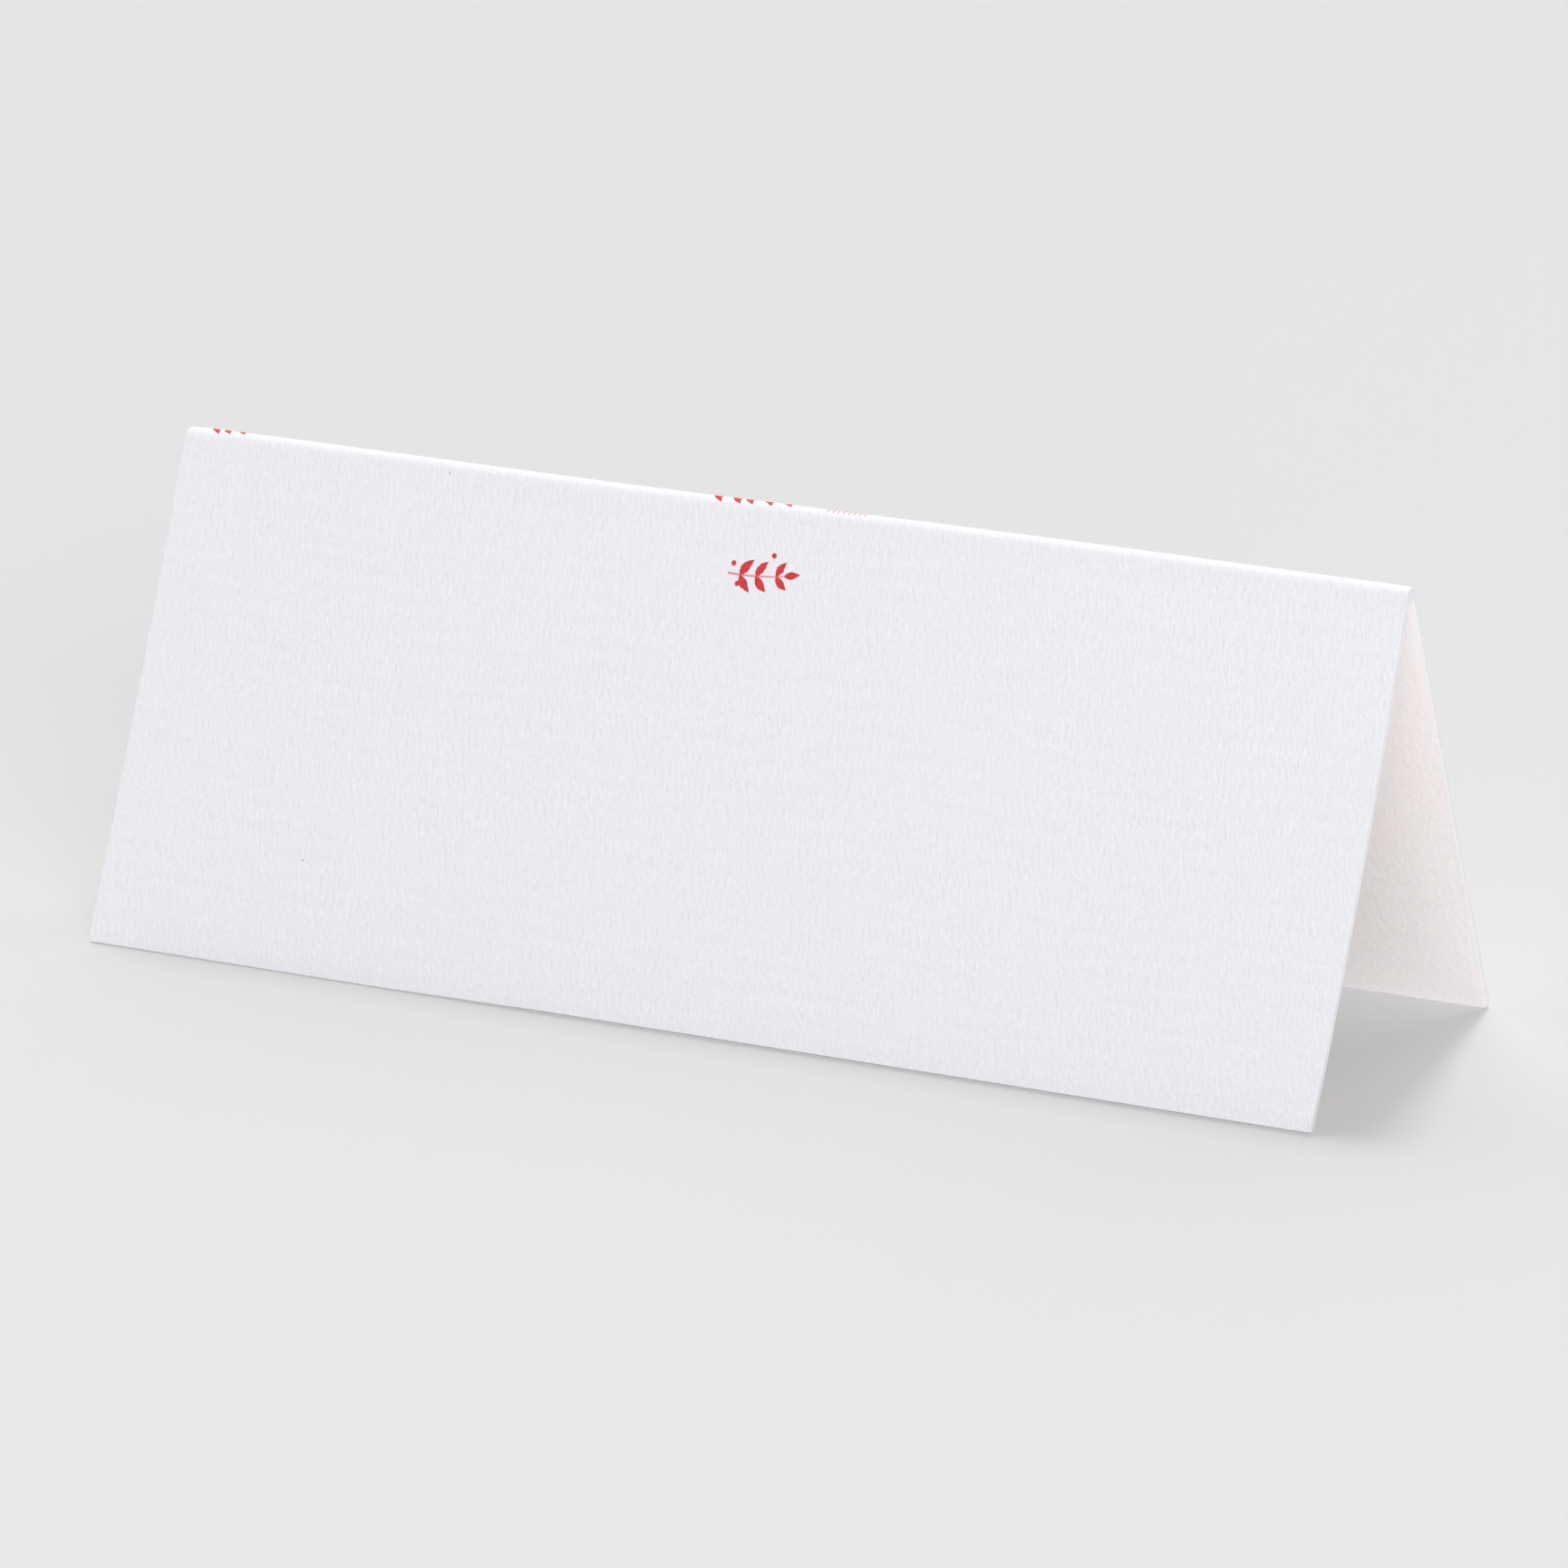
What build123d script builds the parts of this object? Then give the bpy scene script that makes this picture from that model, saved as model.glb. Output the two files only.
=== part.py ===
"""A place card: one sheet of thick textured card, creased across its middle and stood up as a tent.

Frame: millimetres, +Z up, X along the fold, the front panel towards -Y. The origin lies on the table,
midway between the two feet.
"""
import os
from math import cos, degrees, radians, sin

from build123d import *

# The sheet before it is folded
card_width = 100.0
flat_length = 78.8
sheet_thickness = 0.6
corner_radius = 0.3

# The fold, whose scored crease leaves a bead along its inside
fold_inner_radius = 0.25
crease_bead = 0.1

# The stance: each panel leans out, and dips a little between its fold and its foot
lean_angle = 23.9
panel_bow = 0.3

# The sheet's middle line: half a fold, then a panel that is one long shallow arc
fold_middle_radius = fold_inner_radius + sheet_thickness / 2
half_length = flat_length / 2
panel_turn = degrees(8 * panel_bow / half_length)
lean_at_fold = lean_angle - panel_turn / 2
half_fold_length = fold_middle_radius * radians(90 - lean_at_fold)
panel_length = half_length - half_fold_length
panel_radius = panel_length / radians(panel_turn)


def panel_line(fold_end, side, distance):
    """One panel from the fold to its foot; side is -1 in front and 1 behind."""
    heading = (side * sin(radians(lean_at_fold)), -cos(radians(lean_at_fold)))
    return JernArc(fold_end, heading, panel_radius - distance, side * panel_turn)


def sheet_lines(distance):
    """Front panel, fold and back panel of the face that lies a distance outside the sheet's middle."""
    fold = CenterArc((0, 0), fold_middle_radius + distance, lean_at_fold, 180 - 2 * lean_at_fold)
    back = panel_line(fold @ 0, 1, distance)
    front = panel_line(fold @ 1, -1, distance)
    return front, fold, back


def card_section():
    """The sheet's section about the fold's centre, with its square-cut feet and the bead of its crease."""
    outer_front, outer_fold, outer_back = sheet_lines(sheet_thickness / 2)
    inner_front, inner_fold, inner_back = sheet_lines(-sheet_thickness / 2)
    front_foot = Line(outer_front @ 1, inner_front @ 1)
    back_foot = Line(outer_back @ 1, inner_back @ 1)
    outline = [outer_front, outer_fold, outer_back, back_foot, inner_back, inner_fold, inner_front, front_foot]
    standing_height = -(inner_back @ 1).Y
    section = make_face(outline) + Circle(fold_inner_radius + crease_bead)
    return Pos(0, standing_height) * section


def folded_card():
    """The section drawn out along the fold, with the sheet's four corners softened."""
    card = extrude(Plane.YZ * card_section(), card_width / 2, both=True)
    foot_ends = card.edges().filter_by(GeomType.LINE).filter_by(Axis.X, reverse=True)
    return fillet(foot_ends, corner_radius)


os.makedirs("parts", exist_ok=True)
card = folded_card()
card.label = "folded_card"
export_step(card, "parts/folded_card.step")
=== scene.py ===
"""Looks of a standing place card: one folded sheet of felt-marked white card with a small red leaf print.

Metres, in the frame of the solid: X along the fold, the front panel towards -Y, Z up from the table.
A place on the sheet is given in flat coordinates: across (x, along the fold), along (the distance from the
crown of the fold, negative on the front panel) and inward (0 on the outside face, 1 on the inside face).
"""
import math

import bpy
import numpy as np
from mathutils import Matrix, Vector


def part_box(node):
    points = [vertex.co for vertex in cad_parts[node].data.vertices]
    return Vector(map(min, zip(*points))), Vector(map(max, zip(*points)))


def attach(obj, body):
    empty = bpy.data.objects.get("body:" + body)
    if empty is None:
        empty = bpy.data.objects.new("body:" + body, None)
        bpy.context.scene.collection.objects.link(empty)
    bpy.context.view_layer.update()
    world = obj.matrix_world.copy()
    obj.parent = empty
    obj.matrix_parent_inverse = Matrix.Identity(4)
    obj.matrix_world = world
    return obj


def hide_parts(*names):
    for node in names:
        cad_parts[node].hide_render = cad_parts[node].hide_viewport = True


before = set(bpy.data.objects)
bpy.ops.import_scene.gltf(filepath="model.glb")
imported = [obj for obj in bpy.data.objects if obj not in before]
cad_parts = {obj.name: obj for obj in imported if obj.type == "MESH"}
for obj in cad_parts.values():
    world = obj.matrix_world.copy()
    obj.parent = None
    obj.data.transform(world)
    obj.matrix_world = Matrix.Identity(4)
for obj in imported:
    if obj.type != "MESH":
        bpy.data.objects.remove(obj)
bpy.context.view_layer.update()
MM = 0.001

# The sheet and its fold, as in the solid
CARD_LOW, CARD_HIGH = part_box("folded_card")
CARD_WIDTH = CARD_HIGH.x - CARD_LOW.x
FLAT_LENGTH = 78.8 * MM
SHEET_THICKNESS = 0.6 * MM
CORNER_RADIUS = 0.3 * MM
FOLD_INNER_RADIUS = 0.25 * MM
LEAN_ANGLE = math.radians(23.9)
PANEL_BOW = 0.3 * MM

HALF_WIDTH = CARD_WIDTH / 2
HALF_LENGTH = FLAT_LENGTH / 2
FOLD_MIDDLE_RADIUS = FOLD_INNER_RADIUS + SHEET_THICKNESS / 2
PANEL_TURN = 8 * PANEL_BOW / HALF_LENGTH
LEAN_AT_FOLD = LEAN_ANGLE - PANEL_TURN / 2
HALF_FOLD_ANGLE = math.pi / 2 - LEAN_AT_FOLD
HALF_FOLD_LENGTH = FOLD_MIDDLE_RADIUS * HALF_FOLD_ANGLE
PANEL_LENGTH = HALF_LENGTH - HALF_FOLD_LENGTH
PANEL_RADIUS = PANEL_LENGTH / PANEL_TURN
FOLD_HEIGHT = CARD_HIGH.z - FOLD_INNER_RADIUS - SHEET_THICKNESS

# The bead inside the crease, which is fuller in the photograph than in the solid
CREASE_BEAD = 0.28 * MM
BEAD_RADIUS = FOLD_INNER_RADIUS + CREASE_BEAD
BEAD_REACH = HALF_FOLD_LENGTH + math.sqrt(BEAD_RADIUS**2 - FOLD_INNER_RADIUS**2)
BEAD_HALF_ANGLE = math.pi / 2 + LEAN_AT_FOLD - math.acos(FOLD_INNER_RADIUS / BEAD_RADIUS)

# How the photographed sheet departs from the even solid: the hollows of its panels
FRONT_BOW_LEFT = 0.28 * MM
FRONT_BOW_RIGHT = 0.6 * MM
BACK_BOW = 0.1 * MM

# Its crown, which is lifted, waves, eases out into the panels and drops at its ends
CROWN_LIFT = 0.115 * MM
CROWN_WAVE = 0.05 * MM
CROWN_WAVE_LENGTH = 65 * MM
CROWN_WAVE_PEAK = 20 * MM
CROWN_WAVE_REACH = 6 * MM
SHOULDER_TURN = math.radians(11)
SHOULDER_REACH = 0.48 * MM
CROWN_END_DROP = 0.12 * MM
CROWN_END_REACH = 0.8 * MM

# The front's right corner, which curls up, and the left part of its foot, which lies flatter
CURL_LIFT = 0.07 * MM
CURL_REACH = 0.9 * MM
FLAT_FOOT_DROP = 0.16 * MM
FLAT_FOOT_REACH = 1.5 * MM
FLAT_FOOT_ENDS = (-25 * MM, -11 * MM)

# The stock's laid lines, which drift and fade
LAID_PITCH = 1.67 * MM
LAID_DEPTH = 0.007 * MM
LAID_DRIFT_LENGTH = 31 * MM
LAID_FADE_ACROSS = 17 * MM
LAID_FADE_ALONG = 11 * MM
LAID_FADE_SHARE = 0.4
LAID_DRIFT_TURN = 3

# Mesh spacing
CUT_ROUNDING = 0.02 * MM
CUT_TURNS = np.radians((30, 60, 90))
EDGE_STEP = 0.05 * MM
EDGE_ZONE = 0.35 * MM
ACROSS_STEP = 1 * MM
ALONG_STEP = 0.28 * MM
FOLD_STEP = 0.05 * MM
SHOULDER_STEP = 0.1 * MM
SHOULDER_ZONE = 3 * SHOULDER_REACH
SHOULDER_END = BEAD_REACH + SHOULDER_ZONE


def sheet_point(across, along, inward):
    """Points of the even sheet as rows (x, y, z), and its outward normals there."""
    side = np.where(along < 0, -1.0, 1.0)
    reach = np.abs(along)
    turned = np.minimum(reach / FOLD_MIDDLE_RADIUS, HALF_FOLD_ANGLE)
    lean = LEAN_AT_FOLD + np.maximum(reach - HALF_FOLD_LENGTH, 0) / PANEL_RADIUS
    tilt = turned - (lean - LEAN_AT_FOLD)
    depth = FOLD_MIDDLE_RADIUS * np.sin(turned) + PANEL_RADIUS * (np.cos(LEAN_AT_FOLD) - np.cos(lean))
    height = FOLD_MIDDLE_RADIUS * np.cos(turned) - PANEL_RADIUS * (np.sin(lean) - np.sin(LEAN_AT_FOLD))
    half = SHEET_THICKNESS / 2
    outer = np.stack((depth + half * np.sin(tilt), height + half * np.cos(tilt)))
    inner = np.stack((depth - half * np.sin(tilt), height - half * np.cos(tilt)))
    bead_angle = BEAD_HALF_ANGLE * np.minimum(reach / BEAD_REACH, 1)
    bead = np.stack((BEAD_RADIUS * np.sin(bead_angle), -BEAD_RADIUS * np.cos(bead_angle)))
    inner = np.where(reach < BEAD_REACH, bead, inner)
    depth, height = outer * (1 - inward) + inner * inward
    points = np.stack((across, side * depth, FOLD_HEIGHT + height), axis=-1)
    normals = np.stack((np.zeros_like(across), side * np.sin(tilt), np.cos(tilt)), axis=-1)
    return points, normals


def shoulder(along):
    """How far the sheet lies inside the even fold, because its bend eases out over the panels' tops."""
    reach = np.abs(along)
    eased = SHOULDER_REACH * np.exp(-np.maximum(reach - HALF_FOLD_LENGTH, 0) / SHOULDER_REACH)
    crown = np.maximum(HALF_FOLD_LENGTH**2 - reach**2, 0) / (2 * HALF_FOLD_LENGTH)
    return SHOULDER_TURN * (eased + crown)


def panel_share(along):
    """0 at the fold and 1 at a foot."""
    return np.clip((np.abs(along) - HALF_FOLD_LENGTH) / PANEL_LENGTH, 0, 1)


def laid_lines(across, along):
    """The fading, drifting laid lines of the stock, from -1 in a furrow to 1 on a ridge."""
    share = panel_share(along)
    drift = np.sin(2 * math.pi * across / LAID_DRIFT_LENGTH + LAID_DRIFT_TURN * share)
    fade = np.sin(2 * math.pi * (across / LAID_FADE_ACROSS + along / LAID_FADE_ALONG))
    strength = 1 - LAID_FADE_SHARE * (1 - fade)
    beside_fold = np.minimum(share * PANEL_LENGTH / LAID_PITCH, 1)
    return beside_fold * strength * np.sin(2 * math.pi * along / LAID_PITCH + drift)


def unevenness(across, along):
    """How far the sheet stands out from its even shape."""
    share = panel_share(along)
    front_bow = np.interp(across, (-HALF_WIDTH, HALF_WIDTH), (FRONT_BOW_LEFT, FRONT_BOW_RIGHT))
    bow = np.where(along < 0, front_bow, BACK_BOW)
    uneven_bow = (PANEL_BOW - bow) * 4 * share * (1 - share)
    corner_gap = np.hypot(HALF_WIDTH - across, HALF_LENGTH + along)
    curl = CURL_LIFT * np.maximum(1 - corner_gap / CURL_REACH, 0) ** 2
    return uneven_bow - shoulder(along) + curl + LAID_DEPTH * laid_lines(across, along)


def card_point(across, along, inward):
    """Points of the photographed sheet, and the even sheet's normals there."""
    points, normals = sheet_point(across, along, inward)
    points = points + normals * unevenness(across, along)[..., None]
    wave = CROWN_WAVE * np.cos(2 * math.pi * (across - CROWN_WAVE_PEAK) / CROWN_WAVE_LENGTH)
    points[..., 2] += (CROWN_LIFT + wave) * np.exp(-np.abs(along) / CROWN_WAVE_REACH)
    end_gap = np.hypot(HALF_WIDTH - np.abs(across), along)
    points[..., 2] -= CROWN_END_DROP * np.maximum(1 - end_gap / CROWN_END_REACH, 0) ** 2
    flat_foot = np.interp(across, FLAT_FOOT_ENDS, (1, 0)) * (1 - inward)
    foot_gap = HALF_LENGTH + along
    points[..., 2] -= FLAT_FOOT_DROP * flat_foot * np.maximum(1 - foot_gap / FLAT_FOOT_REACH, 0) ** 2
    return points, normals


def soften_corners(across, along):
    """Draws the flat sheet's four square corners in to arcs."""
    past_across = np.abs(across) - (HALF_WIDTH - CORNER_RADIUS)
    past_along = np.abs(along) - (HALF_LENGTH - CORNER_RADIUS)
    in_corner = (past_across > 0) & (past_along > 0)
    larger = np.maximum(past_across, past_along)
    distance = np.hypot(past_across, past_along)
    shrink = np.divide(larger, distance, out=np.ones_like(larger), where=in_corner)
    new_across = np.sign(across) * (HALF_WIDTH - CORNER_RADIUS + past_across * shrink)
    new_along = np.sign(along) * (HALF_LENGTH - CORNER_RADIUS + past_along * shrink)
    return np.where(in_corner, new_across, across), np.where(in_corner, new_along, along)


# Meshes

def spaced(start, stop, step):
    """Even spacing from start to stop, no wider than step."""
    return np.linspace(start, stop, math.ceil((stop - start) / step) + 1)


def mirrored(lines):
    """Grid lines from 0 outwards, repeated on the other side."""
    return np.concatenate((-lines[:0:-1], lines))


def across_lines():
    """Grid lines along the fold, closer at the two ends."""
    end = HALF_WIDTH - CUT_ROUNDING
    zone = HALF_WIDTH - EDGE_ZONE
    return mirrored(np.concatenate((spaced(0, zone, ACROSS_STEP), spaced(zone, end, EDGE_STEP)[1:])))


def along_lines():
    """Grid lines from foot to foot, closer at the feet, in the fold and beside it."""
    end = HALF_LENGTH - CUT_ROUNDING
    zone = HALF_LENGTH - EDGE_ZONE
    fold = spaced(0, BEAD_REACH, FOLD_STEP)
    eased = spaced(BEAD_REACH, SHOULDER_END, SHOULDER_STEP)[1:]
    panel = spaced(SHOULDER_END, zone, ALONG_STEP)[1:]
    return mirrored(np.concatenate((fold, eased, panel, spaced(zone, end, EDGE_STEP)[1:])))


def border(columns, rows):
    """Grid places (column, row) of the border, once round, seen from outside the sheet."""
    right, top = columns - 1, rows - 1
    foot = [(column, 0) for column in range(right)]
    right_end = [(right, row) for row in range(top)]
    head = [(column, top) for column in range(right, 0, -1)]
    left_end = [(0, row) for row in range(top, 0, -1)]
    return np.array(foot + right_end + head + left_end)


def shell_faces(columns, rows, rings):
    """Faces of an outside grid, an inside grid behind it, and the rim that joins them through rings."""
    count = columns * rows
    index = np.arange(count).reshape(columns, rows)
    corners = (index[:-1, :-1], index[1:, :-1], index[1:, 1:], index[:-1, 1:])
    outside = np.stack([corner.ravel() for corner in corners], axis=-1)
    loop = index[tuple(border(columns, rows).T)]
    loops = [2 * count + number * len(loop) + np.arange(len(loop)) for number in range(rings)]
    loops = [loop, *loops, loop + count]
    rim = []
    for near, far in zip(loops, loops[1:]):
        rim.append(np.stack((near, far, np.roll(far, -1), np.roll(near, -1)), axis=-1))
    return outside, outside[:, ::-1] + count, np.concatenate(rim)


def make_object(name, points, faces, attributes):
    """An object whose vertices carry named attributes, each one number or one vector a vertex."""
    mesh = bpy.data.meshes.new(name)
    mesh.from_pydata(points.tolist(), [], faces.tolist())
    for label, values in attributes.items():
        kind, field = ("FLOAT", "value") if values.ndim == 1 else ("FLOAT_VECTOR", "vector")
        layer = mesh.attributes.new(label, kind, "POINT")
        layer.data.foreach_set(field, values.astype(np.float32).ravel())
    made = bpy.data.objects.new(name, mesh)
    bpy.context.scene.collection.objects.link(made)
    return made


def cut_rings():
    """Steps over a cut edge, from the outside face to the inside: (distance in from the cut, inward)."""
    gaps = CUT_ROUNDING * (1 - np.sin(CUT_TURNS))
    inwards = CUT_ROUNDING * (1 - np.cos(CUT_TURNS)) / SHEET_THICKNESS
    rings = list(zip(gaps, inwards))
    return rings + [(gap, 1 - inward) for gap, inward in reversed(rings)]


def card_places():
    """Flat coordinates of the card's vertices, in shell_faces' order, and the grid's two counts."""
    columns, rows = across_lines(), along_lines()
    across, along = (grid.ravel() for grid in np.meshgrid(columns, rows, indexing="ij"))
    places = [(across, along, np.zeros_like(across)), (across, along, np.ones_like(across))]
    loop = border(len(columns), len(rows))
    loop_across, loop_along = columns[loop[:, 0]], rows[loop[:, 1]]
    at_end = np.isin(loop[:, 0], (0, len(columns) - 1))
    at_foot = np.isin(loop[:, 1], (0, len(rows) - 1))
    for gap, inward in cut_rings():
        ring_across = np.where(at_end, np.sign(loop_across) * (HALF_WIDTH - gap), loop_across)
        ring_along = np.where(at_foot, np.sign(loop_along) * (HALF_LENGTH - gap), loop_along)
        places.append((ring_across, ring_along, np.full(len(loop), inward)))
    across, along, inward = (np.concatenate(parts) for parts in zip(*places))
    return (*soften_corners(across, along), inward), (len(columns), len(rows))


# Material slots, and the slot of each strip of the rim from the outside face to the inside
OUTSIDE, INSIDE, CUT = range(3)
RIM_SLOTS = (OUTSIDE, OUTSIDE, CUT, CUT, CUT, INSIDE, INSIDE)


def make_card():
    """The whole sheet, with material slots for its two faces and its cut edge."""
    flat, counts = card_places()
    points, _ = card_point(*flat)
    attributes = {"flat": np.stack(flat, axis=-1), "laid": laid_lines(*flat[:2])}
    outside, inside, rim = shell_faces(*counts, len(cut_rings()))
    faces = np.concatenate((outside, inside, rim))
    card = make_object("card_sheet", points, faces, attributes)
    strip = len(rim) // len(RIM_SLOTS)
    face_counts = (len(outside), len(inside), *[strip] * len(RIM_SLOTS))
    slots = np.repeat((OUTSIDE, INSIDE, *RIM_SLOTS), face_counts)
    card.data.polygons.foreach_set("material_index", slots)
    card.data.polygons.foreach_set("use_smooth", slots != CUT)
    return card


# Node helpers

def new_material(name):
    """A material with only a Principled shader and its output, as (material, node tree, shader)."""
    material = bpy.data.materials.new(name)
    material.use_nodes = True
    tree = material.node_tree
    return material, tree, tree.nodes["Principled BSDF"]


def feed(tree, socket, value):
    """Sets a socket to a value, or links another node's socket to it."""
    if isinstance(value, bpy.types.NodeSocket):
        tree.links.new(value, socket)
    else:
        socket.default_value = value


def node(tree, kind, settings=None, **inputs):
    """A new node; inputs are given by socket name, as a value or as another node's socket."""
    made = tree.nodes.new(kind)
    for name, value in (settings or {}).items():
        setattr(made, name, value)
    for name, value in inputs.items():
        feed(tree, made.inputs[name], value)
    return made


def mix_colour(tree, share, first, second, blend="MIX"):
    """The first colour, with a share of the second."""
    mixer = tree.nodes.new("ShaderNodeMix")
    mixer.data_type = "RGBA"
    mixer.blend_type = blend
    feed(tree, mixer.inputs["Factor"], share)
    feed(tree, mixer.inputs["A"], first)
    feed(tree, mixer.inputs["B"], second)
    return mixer.outputs["Result"]


def maths(tree, operation, first, second):
    """The result of one operation on two numbers."""
    made = node(tree, "ShaderNodeMath", {"operation": operation})
    feed(tree, made.inputs[0], first)
    feed(tree, made.inputs[1], second)
    return made.outputs[0]


def varied(tree, pattern, base, change):
    """A number that rises from its base by up to a change, as the pattern goes from 0 to 1."""
    return maths(tree, "ADD", maths(tree, "MULTIPLY", pattern, change), base)


def attribute(tree, name, output):
    """What the mesh's vertices carry under a name."""
    return node(tree, "ShaderNodeAttribute", {"attribute_name": name}).outputs[output]


def noise(tree, place, scale, detail, roughness):
    """A noise pattern over places scaled by one number for each axis."""
    scaled = node(tree, "ShaderNodeMapping", Vector=place, Scale=scale).outputs[0]
    pattern = node(tree, "ShaderNodeTexNoise", Vector=scaled, Scale=1, Detail=detail, Roughness=roughness)
    return pattern.outputs[0]


def raise_relief(tree, shader, pattern, height):
    """Bumps a shader's surface up by a pattern."""
    bump = node(tree, "ShaderNodeBump", Height=pattern, Distance=height)
    feed(tree, shader.inputs["Normal"], bump.outputs[0])


DULL_GLOSS = 0.25


def finish_matt(tree, shader, colour, roughness):
    """Gives a shader its colour and roughness, and the low gloss of paper and ink."""
    feed(tree, shader.inputs["Base Color"], colour)
    feed(tree, shader.inputs["Roughness"], roughness)
    feed(tree, shader.inputs["Specular IOR Level"], DULL_GLOSS)


# The card stock

# Its colours, where the front's go over to the back's, and what its patterns tint them with
# Some of these are painted light and shade, as marked at each
FRONT_OUTSIDE_COLOUR = (0.94, 0.932, 0.977, 1)
# Painted shade: the back's outside is the front's stock drawn darker, from just past the crown,
# so that it does not glare under the lamps behind it
BACK_OUTSIDE_PAINTED_SHADE_COLOUR = (0.785, 0.778, 0.815, 1)
OUTSIDE_PAINTED_SHADE_BLEND = (0.2 * MM, 2.5 * MM)
# Painted warm light: the inside faces are the outside's stock drawn pink, most on the front,
# for the warm light that fills the fold
FRONT_INSIDE_WARM_LIGHT_COLOUR = (0.955, 0.79, 0.765, 1)
BACK_INSIDE_WARM_LIGHT_COLOUR = (0.922, 0.89, 0.893, 1)
INSIDE_WARM_LIGHT_BLEND = (-14 * MM, 0)
CLOUD_TINT = (0.983, 0.984, 0.988, 1)
# Darker in the laid furrows: partly the stock's own laid lines, partly painted shade
LAID_DENSITY_AND_SHADE_TINT = (0.985, 0.985, 0.985, 1)
OUTSIDE_FIBRE_TINT = (0.855, 0.855, 0.855, 1)
INSIDE_FIBRE_TINT = (0.98, 0.98, 0.98, 1)
# Painted shade: the cut edge is drawn darker and bluer than the stock, for the shade of its torn fibres
CUT_SHADED_COLOUR = (0.86, 0.85, 0.885, 1)
CUT_FIBRE_SHADE_COLOUR = (0.805, 0.795, 0.84, 1)

# Its patterns: steps a metre across and along, and steps from face to face
FELT_SLANT = math.radians(-17)
FELT_SCALE = (3000, 1550, 1)
INSIDE_FELT_SCALE = (1700, 1800, 1)
FIBRE_FINENESS = (1.6, 1.3, 1)
FIBRE_SHARE = 0.25
FELT_HEIGHT = 0.066 * MM
INSIDE_FELT_HEIGHT = 0.055 * MM
CLOUD_SCALE = (160, 160, 1)
CUT_FIBRE_SCALE = (9000, 9000, 6)
CUT_FIBRE_HEIGHT = 0.03 * MM

# Each noise's detail and roughness
FELT_NOISE = (2, 0.5)
FIBRE_NOISE = (2, 0.6)
CLOUD_NOISE = (3, 0.5)
CUT_FIBRE_NOISE = (3, 0.65)

# How rough each surface is at least, and how far that rises with its pattern
STOCK_ROUGHNESS = (0.82, 0.1)
CUT_ROUGHNESS = (0.88, 0.08)


def stock_material(name, colours, blend, fibre_tint, felt_scale, felt_height):
    """One face of the stock: felt marks and finer fibres as relief, and a faintly clouded and lined colour.

    The colour of the front panel goes over to that of the back panel between the two places of blend.
    """
    material, tree, shader = new_material(name)
    flat = attribute(tree, "flat", "Vector")
    along = node(tree, "ShaderNodeSeparateXYZ", Vector=flat).outputs["Y"]
    # Painted light: from the front's colour to the back's, shade on the back's outside, warm light inside
    behind = node(tree, "ShaderNodeMapRange", Value=along)
    behind.inputs["From Min"].default_value, behind.inputs["From Max"].default_value = blend
    colour = mix_colour(tree, behind.outputs[0], *colours)
    slanted = node(tree, "ShaderNodeMapping", Vector=flat, Rotation=(0, 0, FELT_SLANT)).outputs[0]
    felt = noise(tree, slanted, felt_scale, *FELT_NOISE)
    fibre = noise(tree, slanted, np.multiply(felt_scale, FIBRE_FINENESS), *FIBRE_NOISE)
    relief = maths(tree, "ADD", felt, maths(tree, "MULTIPLY", fibre, FIBRE_SHARE))
    raise_relief(tree, shader, relief, felt_height)
    cloud = noise(tree, flat, CLOUD_SCALE, *CLOUD_NOISE)
    # The laid lines go from -1 to 1, and their furrows from 1 to 0; the darker furrows are partly painted
    # shade
    furrow = varied(tree, attribute(tree, "laid", "Fac"), 1 / 2, -1 / 2)
    for pattern, tint in ((cloud, CLOUD_TINT), (furrow, LAID_DENSITY_AND_SHADE_TINT), (fibre, fibre_tint)):
        colour = mix_colour(tree, pattern, colour, tint, "MULTIPLY")
    finish_matt(tree, shader, colour, varied(tree, felt, *STOCK_ROUGHNESS))
    return material


def cut_material():
    """The cut edge of the stock, where torn fibres shade each other."""
    material, tree, shader = new_material("cut_card_edge")
    fibre = noise(tree, attribute(tree, "flat", "Vector"), CUT_FIBRE_SCALE, *CUT_FIBRE_NOISE)
    raise_relief(tree, shader, fibre, CUT_FIBRE_HEIGHT)
    colour = mix_colour(tree, fibre, CUT_SHADED_COLOUR, CUT_FIBRE_SHADE_COLOUR)
    finish_matt(tree, shader, colour, varied(tree, fibre, *CUT_ROUGHNESS))
    return material


# The print: sprigs of almond leaves, each stroke a middle line in flat coordinates and its half widths

STROKE_STEPS = 16
STROKE_COLUMNS = 5
FINEST_HALF_WIDTH = 0.008 * MM
INK_THICKNESS = 0.008 * MM
INK_STEP_SHARE = 0.1
INK_SEED = 7
FULL_TONE = 1
EDGE_ROUGHNESS = 0.08
LEAF_SHAPE = 0.8
LEAF_WIDTH_SHARE = 0.43
LEAF_SPREAD = math.radians(50)
LEAF_BEND = LEAF_SPREAD / 2
LOWEST_LEAF_SHARE = 1.15
LEAF_SHRINK_SHARE = 0.3
TIP_LEAF_SHARE = 0.9
STEM_WIDTH_SHARE = 0.12
STEM_TAPER = 0.4
STEM_TONE_SHARE = 0.69

# Pairs of leaves are one step apart on a stem: the steps below the first pair, and the stem's spare steps
STEPS_TO_FIRST_PAIR = 0.7
SPARE_STEPS = 0.5


def middle_line(start, heading, length, bend):
    """Shares, places and headings along a line that turns by bend from its start to its end."""
    share = np.linspace(0, 1, STROKE_STEPS)
    headings = heading + bend * (share - 0.5)
    steps = np.stack((np.cos(headings), np.sin(headings)), axis=-1) * length / (STROKE_STEPS - 1)
    places = np.array(start) + np.vstack((np.zeros(2), np.cumsum(steps[:-1], axis=0)))
    return share, places, headings


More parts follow.
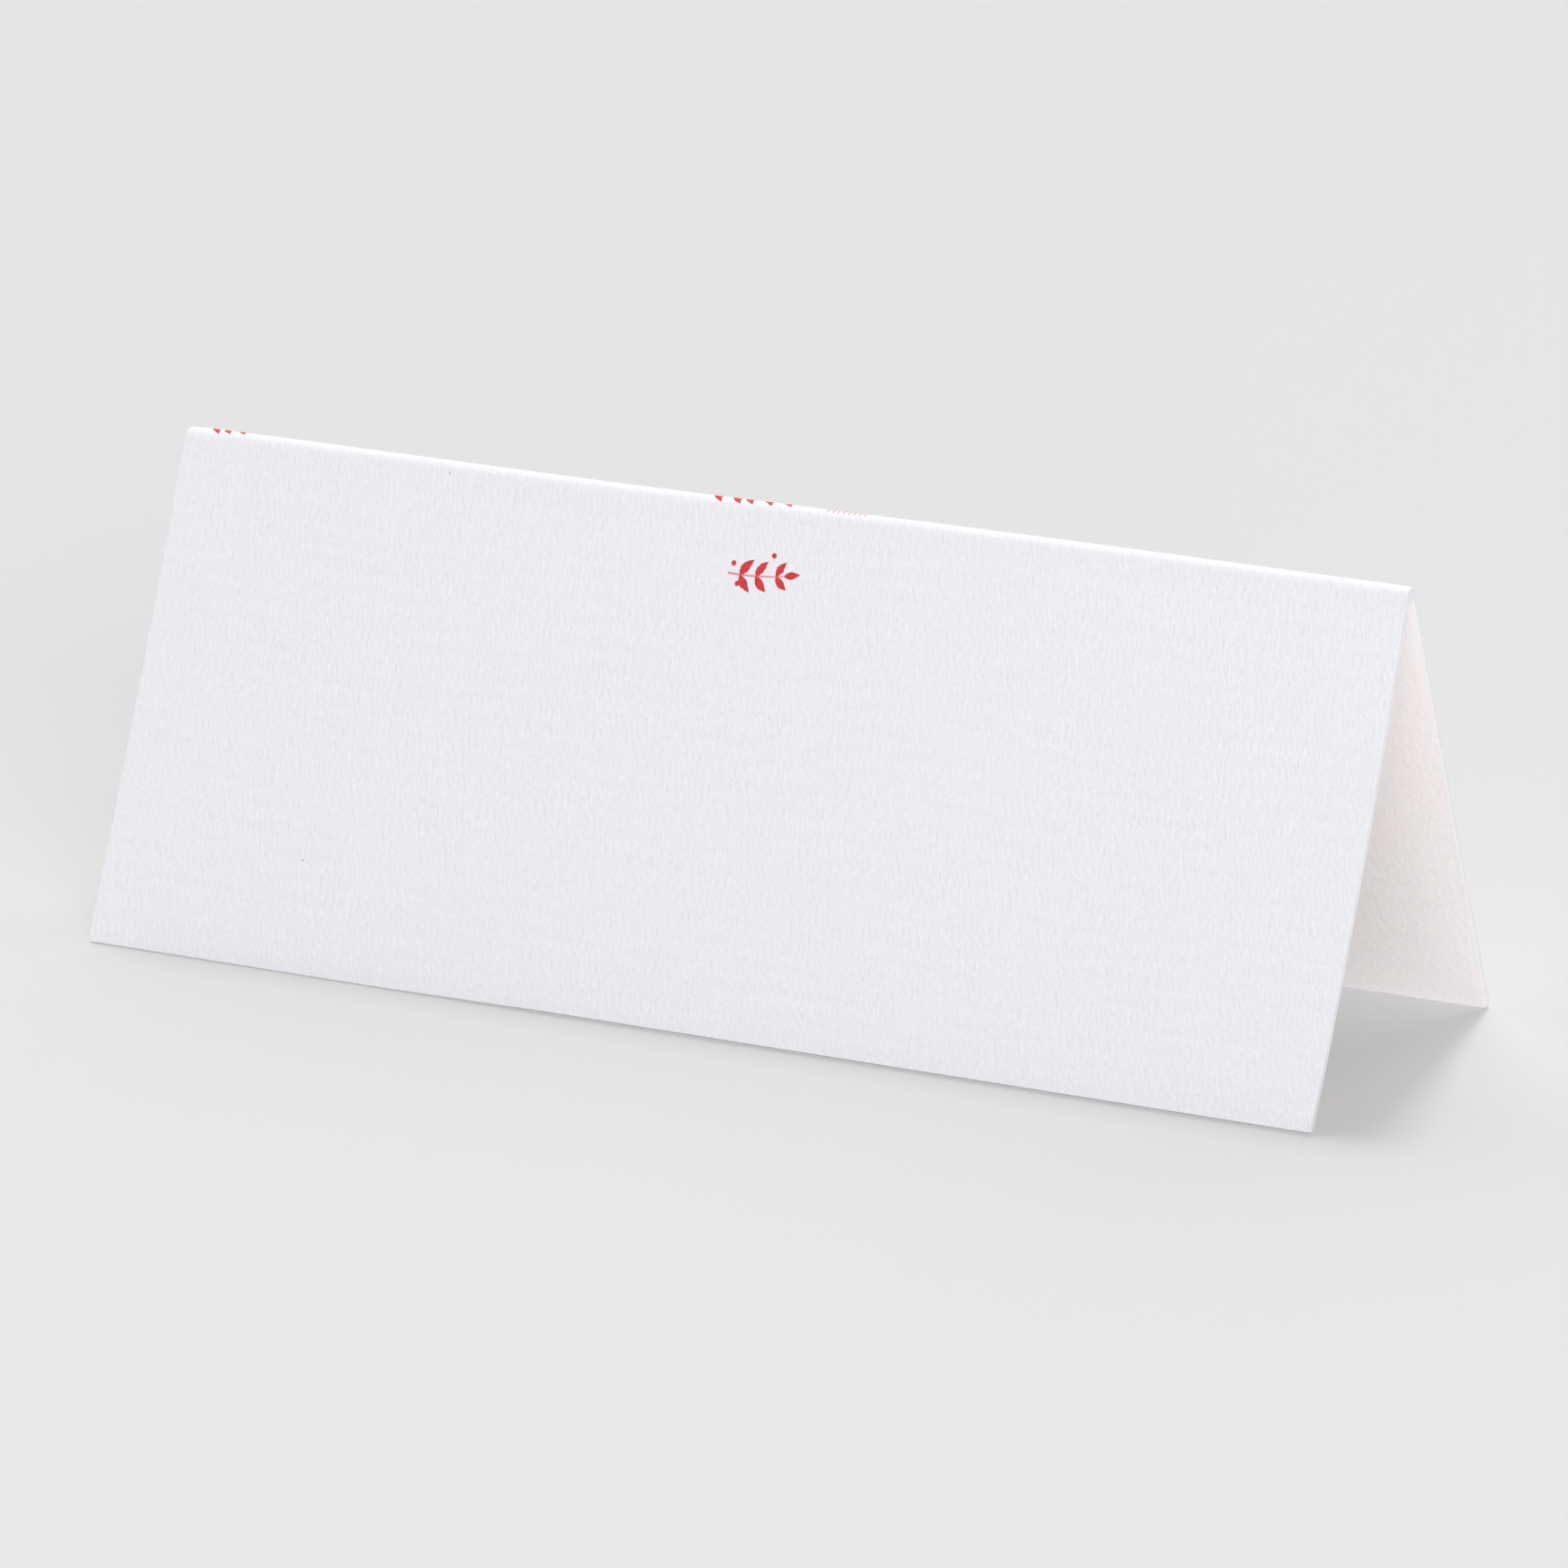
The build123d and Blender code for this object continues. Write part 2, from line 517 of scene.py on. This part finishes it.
def leaf(start, heading, length, bend, tone):
    """An almond shape, widest a little before its middle."""
    share, places, headings = middle_line(start, heading, length, bend)
    half_widths = LEAF_WIDTH_SHARE * length / 2 * np.sin(math.pi * share**LEAF_SHAPE)
    return places, headings, half_widths, tone


def stem(start, heading, length, width, bend, tone):
    """A thin line that tapers towards its end."""
    share, places, headings = middle_line(start, heading, length, bend)
    return places, headings, width / 2 * (1 - STEM_TAPER * share), tone


def berry(centre, radius, tone):
    """A round dot."""
    start = np.array(centre) - (radius, 0)
    share, places, headings = middle_line(start, 0, 2 * radius, 0)
    return places, headings, radius * np.sqrt(np.maximum(1 - (2 * share - 1) ** 2, 0)), tone


def sprig(start, heading, length, bend, pairs, leaf_length, tone):
    """A stem with pairs of leaves along it, smaller towards its tip, and one leaf at the tip."""
    _, places, headings = middle_line(start, heading, length, bend)
    strokes = [stem(start, heading, length, STEM_WIDTH_SHARE * leaf_length, bend, STEM_TONE_SHARE * tone)]
    for number in range(pairs):
        share = (number + STEPS_TO_FIRST_PAIR) / (pairs + SPARE_STEPS)
        at = round(share * (STROKE_STEPS - 1))
        side_length = (LOWEST_LEAF_SHARE - LEAF_SHRINK_SHARE * share) * leaf_length
        for side in (-1, 1):
            turned = headings[at] + side * LEAF_SPREAD
            strokes.append(leaf(places[at], turned, side_length, -side * LEAF_BEND, tone))
    strokes.append(leaf(places[-2], headings[-1], TIP_LEAF_SHARE * leaf_length, 0, tone))
    return strokes


def make_print(name, strokes, material):
    """A thin closed film of ink for each stroke on the card's outside, each a little over the last."""
    chance = np.random.default_rng(INK_SEED)
    points, faces, tones = [], [], []
    offsets = np.linspace(-1, 1, STROKE_COLUMNS)
    film = np.concatenate(shell_faces(STROKE_STEPS, STROKE_COLUMNS, 0))
    for number, (places, headings, half_widths, tone) in enumerate(strokes):
        rough = 1 + EDGE_ROUGHNESS * chance.standard_normal(STROKE_STEPS)
        half_widths = np.maximum(half_widths * rough, FINEST_HALF_WIDTH)
        sideways = np.stack((-np.sin(headings), np.cos(headings)), axis=-1)
        flat = places[:, None] + half_widths[:, None, None] * offsets[None, :, None] * sideways[:, None]
        across, along = flat.reshape(-1, 2).T
        on_card, normals = card_point(across, along, np.zeros_like(across))
        lift = INK_THICKNESS * (1 + INK_STEP_SHARE * number)
        faces.append(film + sum(len(part) for part in points))
        points += [on_card + normals * lift, on_card - normals * INK_THICKNESS]
        tones.append(np.full(2 * len(across), tone))
    made = make_object(name, np.concatenate(points), np.concatenate(faces), {"tone": np.concatenate(tones)})
    made.data.materials.append(material)
    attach(made, "root")


INK_COLOUR = (0.8, 0.075, 0.085, 1)
DEEP_INK_COLOUR = (0.46, 0.03, 0.036, 1)
PALE_INK_COLOUR = (0.925, 0.85, 0.9, 1)
INK_MOTTLE_SCALE = (2600, 2600, 2600)
INK_MOTTLE_NOISE = (3, 0.6)
INK_ROUGHNESS = (0.7, 0.15)


def ink_mottle(tree):
    """The uneven pattern that felt leaves in whatever lies on it."""
    place = node(tree, "ShaderNodeTexCoord").outputs["Object"]
    return noise(tree, place, INK_MOTTLE_SCALE, *INK_MOTTLE_NOISE)


def ink_material():
    """Matt ink that has sunk unevenly into the felt; a tone of 0 is a thin pale wash and 1 is full ink."""
    material, tree, shader = new_material("red_ink")
    mottle = ink_mottle(tree)
    full = mix_colour(tree, mottle, DEEP_INK_COLOUR, INK_COLOUR)
    colour = mix_colour(tree, attribute(tree, "tone", "Fac"), PALE_INK_COLOUR, full)
    raise_relief(tree, shader, mottle, FELT_HEIGHT)
    finish_matt(tree, shader, colour, varied(tree, mottle, *INK_ROUGHNESS))
    return material


FRONT_SPRIG_START = (-3.1 * MM, -5.5 * MM)
FRONT_SPRIG_HEADING = math.radians(4)
FRONT_SPRIG_LENGTH = 4.9 * MM
FRONT_SPRIG_BEND = math.radians(14)
FRONT_SPRIG_PAIRS = 3
FRONT_LEAF_LENGTH = 1.45 * MM
FRONT_BERRIES = ((-2.75 * MM, -4.75 * MM), (-2.2 * MM, -6.2 * MM), (0.4 * MM, -3.85 * MM))
BERRY_RADIUS = 0.2 * MM


def front_strokes():
    """The small sprig under the fold on the front, with a few berries beside it."""
    strokes = sprig(FRONT_SPRIG_START, FRONT_SPRIG_HEADING, FRONT_SPRIG_LENGTH, FRONT_SPRIG_BEND,
                    FRONT_SPRIG_PAIRS, FRONT_LEAF_LENGTH, FULL_TONE)
    return strokes + [berry(centre, BERRY_RADIUS, FULL_TONE) for centre in FRONT_BERRIES]


# Where each garland starts along the fold, its length, its pairs of leaves and its tone
GARLANDS = (
    (-48.8 * MM, 3.6 * MM, 3, FULL_TONE),
    (-6.6 * MM, 7.8 * MM, 5, FULL_TONE),
    (43.4 * MM, 1.4 * MM, 1, 0.1),
)
GARLAND_DROP = 0.78 * MM
GARLAND_BEND = math.radians(6)
GARLAND_LEAF_LENGTH = 1.35 * MM
HATCH_FIRST = 3.9 * MM
HATCH_STEP = 0.43 * MM
HATCH_COUNT = 8
HATCH_WIDTH = 0.13 * MM
HATCH_DROP = 1.3 * MM
HATCH_HEADING = math.radians(-90)
HATCH_LENGTH = 1.55 * MM
HATCH_TONE = 0.62


def fold_strokes():
    """Garlands along the top of the back, whose upper leaves tip over the crown, and a row of hatching."""
    strokes = []
    for first, length, pairs, tone in GARLANDS:
        start = (first, GARLAND_DROP)
        strokes += sprig(start, 0, length, GARLAND_BEND, pairs, GARLAND_LEAF_LENGTH, tone)
    for number in range(HATCH_COUNT):
        start = (HATCH_FIRST + number * HATCH_STEP, HATCH_DROP)
        strokes.append(stem(start, HATCH_HEADING, HATCH_LENGTH, HATCH_WIDTH, 0, HATCH_TONE))
    return strokes


# Specks of dust in the stock: across, along and radius
FLECKS = (
    (-33.4 * MM, -31.1 * MM, 0.07 * MM),
    (37.7 * MM, -1.8 * MM, 0.05 * MM),
    (-27.2 * MM, -1 * MM, 0.06 * MM),
)
FLECK_COLOUR = (0.5, 0.48, 0.54, 1)
FLECK_FIBRE_COLOUR = (0.38, 0.36, 0.4, 1)
FLECK_ROUGHNESS = (0.8, 0.15)


def fleck_material():
    """Grey dust, as matt as the stock."""
    material, tree, shader = new_material("grey_fleck")
    mottle = ink_mottle(tree)
    colour = mix_colour(tree, mottle, FLECK_COLOUR, FLECK_FIBRE_COLOUR)
    finish_matt(tree, shader, colour, varied(tree, mottle, *FLECK_ROUGHNESS))
    return material


# The studio

FLOOR_COLOUR = (0.77, 0.77, 0.77, 1)
BACKDROP_COLOUR = (0.791, 0.791, 0.791, 1)
EVEN_FLOOR_COLOUR = (0.66, 0.66, 0.66, 1)
EVEN_FLOOR_SHARE = 0.49
FLOOR_RADIUS = 6.0
FLOOR_SIDES = 96
SKY_STRENGTH = 0.03

# Lamps: azimuth, elevation, how wide each looks, and the light that it puts on a white face turned to it
LAMP_DISTANCE = 4.0
KEY_LAMP = (math.radians(199.5), math.radians(64.5), math.radians(10), 0.51)
BACK_LAMP = (math.radians(200), math.radians(53), math.radians(60), 0.66)
FRONT_LAMP = (math.radians(40), math.radians(16), math.radians(30), 0.73)
LOW_LAMP = (math.radians(15), math.radians(6), math.radians(20), 0.13)


def seen_directly(tree):
    """1 where the camera sees a surface directly, or in a mirror or through glass."""
    path = node(tree, "ShaderNodeLightPath")
    reflected = maths(tree, "MAXIMUM", path.outputs["Is Camera Ray"], path.outputs["Is Glossy Ray"])
    return maths(tree, "MAXIMUM", reflected, path.outputs["Is Transmission Ray"])


def floor_material():
    """A plain matt floor; part of what the camera sees of it is one even colour, to soften its shadows."""
    material, tree, shader = new_material("plain_floor")
    shader.inputs["Base Color"].default_value = FLOOR_COLOUR
    shader.inputs["Roughness"].default_value = 1
    shader.inputs["Specular IOR Level"].default_value = 0
    even = node(tree, "ShaderNodeEmission", Color=EVEN_FLOOR_COLOUR, Strength=1)
    share = maths(tree, "MULTIPLY", seen_directly(tree), EVEN_FLOOR_SHARE)
    mixer = node(tree, "ShaderNodeMixShader", Fac=share)
    feed(tree, mixer.inputs[1], shader.outputs[0])
    feed(tree, mixer.inputs[2], even.outputs[0])
    feed(tree, tree.nodes["Material Output"].inputs["Surface"], mixer.outputs[0])
    return material


def make_floor():
    """A wide round floor, centred under the card."""
    turns = np.arange(FLOOR_SIDES) * 2 * math.pi / FLOOR_SIDES
    rim = np.stack((np.cos(turns), np.sin(turns), np.zeros(FLOOR_SIDES)), axis=-1) * FLOOR_RADIUS
    floor = make_object("floor", rim, np.arange(FLOOR_SIDES)[None], {})
    floor.data.materials.append(floor_material())


def from_angles(azimuth, elevation):
    """The direction towards a viewer or lamp; azimuth 0 is in front, and grows to the right."""
    level = math.cos(elevation)
    return Vector((math.sin(azimuth) * level, -math.cos(azimuth) * level, math.sin(elevation)))


def place_facing(name, data, towards, distance, aim):
    """Puts a lamp or camera at a distance from its aim, looking at it."""
    placed = bpy.data.objects.new(name, data)
    placed.location = aim + distance * towards
    placed.rotation_euler = towards.to_track_quat("Z", "Y").to_euler()
    bpy.context.scene.collection.objects.link(placed)
    return placed


def make_far_lamp(name, azimuth, elevation, width, strength):
    """A lamp whose light is even all over the floor."""
    data = bpy.data.lights.new(name, "SUN")
    data.energy = strength * math.pi
    data.angle = width
    place_facing(name, data, from_angles(azimuth, elevation), LAMP_DISTANCE, Vector())


def make_near_lamp(name, azimuth, elevation, width, strength):
    """A lamp whose light falls off a little over the card."""
    data = bpy.data.lights.new(name, "AREA")
    data.shape = "DISK"
    data.size = 2 * LAMP_DISTANCE * math.tan(width / 2)
    data.energy = strength * (math.pi * LAMP_DISTANCE) ** 2
    place_facing(name, data, from_angles(azimuth, elevation), LAMP_DISTANCE, Vector())


def make_world():
    """Faint even light from all round, shown to the camera and in reflections as a plain pale backdrop."""
    world = bpy.data.worlds.new("studio")
    world.use_nodes = True
    tree = world.node_tree
    sky = (SKY_STRENGTH, SKY_STRENGTH, SKY_STRENGTH, 1)
    colour = mix_colour(tree, seen_directly(tree), sky, BACKDROP_COLOUR)
    feed(tree, tree.nodes["Background"].inputs["Color"], colour)
    bpy.context.scene.world = world


# The camera, fitted to the card's edges in the photograph
VIEW_AZIMUTH = math.radians(26.737)
VIEW_ELEVATION = math.radians(16.757)
VIEW_DISTANCE = 0.68986
VIEW_AIM = Vector((0.243 * MM, -0.097 * MM, 14.801 * MM))
VIEW_LENS = 214.51
VIEW_CLIP = 0.01


def make_camera():
    """The photograph's camera."""
    data = bpy.data.cameras.new("camera")
    data.lens = VIEW_LENS
    data.clip_start = VIEW_CLIP
    towards = from_angles(VIEW_AZIMUTH, VIEW_ELEVATION)
    bpy.context.scene.camera = place_facing("camera", data, towards, VIEW_DISTANCE, VIEW_AIM)


card = make_card()
outside_colours_with_painted_shade = (FRONT_OUTSIDE_COLOUR, BACK_OUTSIDE_PAINTED_SHADE_COLOUR)
inside_warm_light_colours = (FRONT_INSIDE_WARM_LIGHT_COLOUR, BACK_INSIDE_WARM_LIGHT_COLOUR)
outside_looks_with_painted_shade = (outside_colours_with_painted_shade, OUTSIDE_PAINTED_SHADE_BLEND, OUTSIDE_FIBRE_TINT, FELT_SCALE, FELT_HEIGHT)
inside_looks_with_warm_light = (inside_warm_light_colours, INSIDE_WARM_LIGHT_BLEND, INSIDE_FIBRE_TINT, INSIDE_FELT_SCALE, INSIDE_FELT_HEIGHT)
card.data.materials.append(stock_material("card_outside_with_painted_shade", *outside_looks_with_painted_shade))
card.data.materials.append(stock_material("card_inside_with_painted_warm_light", *inside_looks_with_warm_light))
card.data.materials.append(cut_material())
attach(card, "root")
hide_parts("folded_card")

ink = ink_material()
make_print("front_print", front_strokes(), ink)
make_print("fold_print", fold_strokes(), ink)
flecks = [berry((across, along), radius, FULL_TONE) for across, along, radius in FLECKS]
make_print("flecks", flecks, fleck_material())

make_floor()
make_far_lamp("key_lamp", *KEY_LAMP)
make_far_lamp("back_lamp", *BACK_LAMP)
make_near_lamp("front_lamp", *FRONT_LAMP)
make_far_lamp("low_lamp", *LOW_LAMP)
make_world()
make_camera()
bpy.context.scene.view_settings.view_transform = "Standard"
